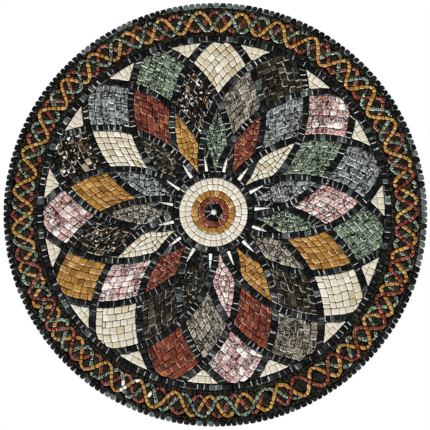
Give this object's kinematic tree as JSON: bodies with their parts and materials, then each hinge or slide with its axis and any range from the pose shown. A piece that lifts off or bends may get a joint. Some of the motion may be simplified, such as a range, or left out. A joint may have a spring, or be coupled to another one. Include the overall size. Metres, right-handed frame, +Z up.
{
  "type": "mosaic panel",
  "caption": "Round stone mosaic medallion on a net backing, with a rosette of crossing arcs, a braid border and a dark rim.",
  "frame": {"origin": "middle of the flat back face of the net, which is bedded on the wall", "axes": "-Y out of the face of the mosaic, +Y into the wall, +Z up, +X to the right seen from the front"},
  "size_m": [0.7999, 0.01, 0.7998],
  "materials": {
    "net_backing": "glass-fibre net set in a thin sheet of clear resin, satin",
    "white_limestone": "honed",
    "cream_limestone": "honed",
    "gold_limestone": "honed",
    "red_marble": "honed",
    "green_marble": "honed, mottled",
    "slate_marble": "honed, mottled",
    "taupe_marble": "honed, mottled",
    "pink_breccia": "honed, veined",
    "brown_marble": "honed",
    "veined_dark_marble": "honed, with white and gold veins",
    "black_marble": "honed"
  },
  "bodies": {
    "root": {"net_backing": "net_backing", "eye_stone": "white_limestone", "black_ring": "black_marble", "red_ring": "red_marble", "gold_ring": "gold_limestone", "cream_ring": "cream_limestone", "black_lattice": "black_marble", "petal_01": "green_marble", "petal_02": "red_marble", "petal_03": "cream_limestone", "petal_04": "slate_marble", "petal_05": "green_marble", "petal_06": "taupe_marble", "petal_07": "gold_limestone", "petal_08": "pink_breccia", "petal_09": "brown_marble", "petal_10": "red_marble", "petal_11": "cream_limestone", "petal_12": "taupe_marble", "petal_13": "slate_marble", "petal_14": "brown_marble", "petal_15": "gold_limestone", "diamond_01": "taupe_marble", "diamond_02": "slate_marble", "diamond_03": "green_marble", "diamond_04": "pink_breccia", "diamond_05": "gold_limestone", "diamond_06": "brown_marble", "diamond_07": "red_marble", "diamond_08": "taupe_marble", "diamond_09": "brown_marble", "diamond_10": "pink_breccia", "diamond_11": "veined_dark_marble", "diamond_12": "gold_limestone", "diamond_13": "cream_limestone", "diamond_14": "red_marble", "diamond_15": "veined_dark_marble", "kite_01": "cream_limestone", "kite_02": "brown_marble", "kite_03": "pink_breccia", "kite_04": "slate_marble", "kite_05": "green_marble", "kite_06": "cream_limestone", "kite_07": "taupe_marble", "kite_08": "pink_breccia", "kite_09": "red_marble", "kite_10": "cream_limestone", "kite_11": "gold_limestone", "kite_12": "pink_breccia", "kite_13": "veined_dark_marble", "kite_14": "slate_marble", "kite_15": "green_marble", "braid_band": "brown_marble", "rim_course": "black_marble"}
  },
  "joints": []
}
